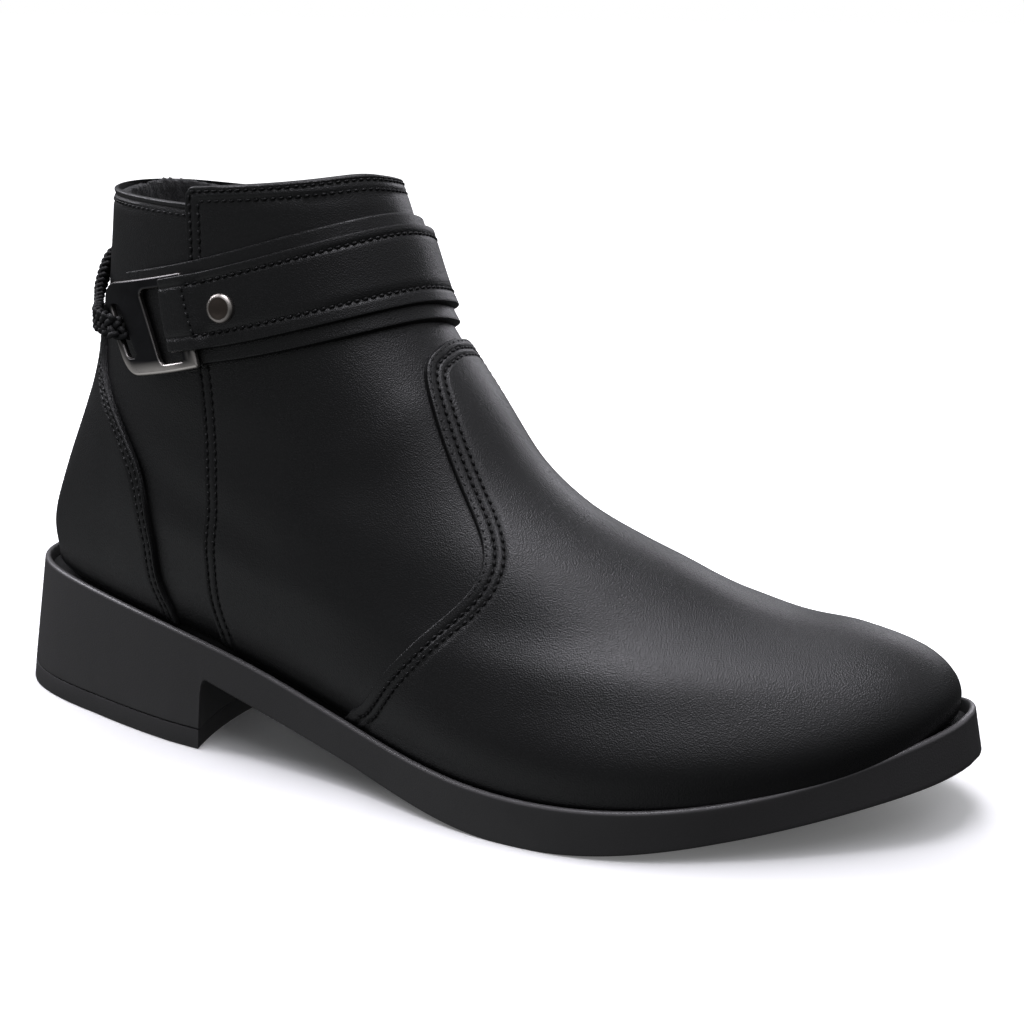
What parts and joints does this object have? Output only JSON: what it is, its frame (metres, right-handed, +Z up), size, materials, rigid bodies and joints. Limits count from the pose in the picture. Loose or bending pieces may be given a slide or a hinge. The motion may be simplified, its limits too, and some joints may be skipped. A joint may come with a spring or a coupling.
{
  "type": "ankle boot",
  "caption": "Right ankle boot in smooth black leather with a round toe, moulded unit sole, low block heel and an ankle strap held by a slotted metal plate and a braided cord.",
  "frame": {"origin": "middle of the footprint, on the floor under the boot", "axes": "+X towards the toe, +Y towards the inner side of the foot, +Z up; the buckle is on the -Y side"},
  "size_m": [0.2696, 0.0984, 0.1464],
  "materials": {
    "black_leather": "smooth, semi-matte, fine grain",
    "strap_leather": "smooth, semi-matte, fine grain",
    "black_rubber": "satin, moulded",
    "lift_rubber": "satin, moulded",
    "footbed_cloth": "short dark grey fleece",
    "gunmetal": "dark plated, polished edges",
    "braided_cord": "flat braid, matte"
  },
  "bodies": {
    "root": {"upper": "black_leather", "vamp": "black_leather", "counter": "black_leather", "under_strap": "strap_leather", "over_strap": "strap_leather", "buckle": "gunmetal", "rivet": "gunmetal", "cord": "braided_cord", "sole_unit": "black_rubber", "heel_lift": "lift_rubber", "insole": "footbed_cloth"}
  },
  "joints": []
}
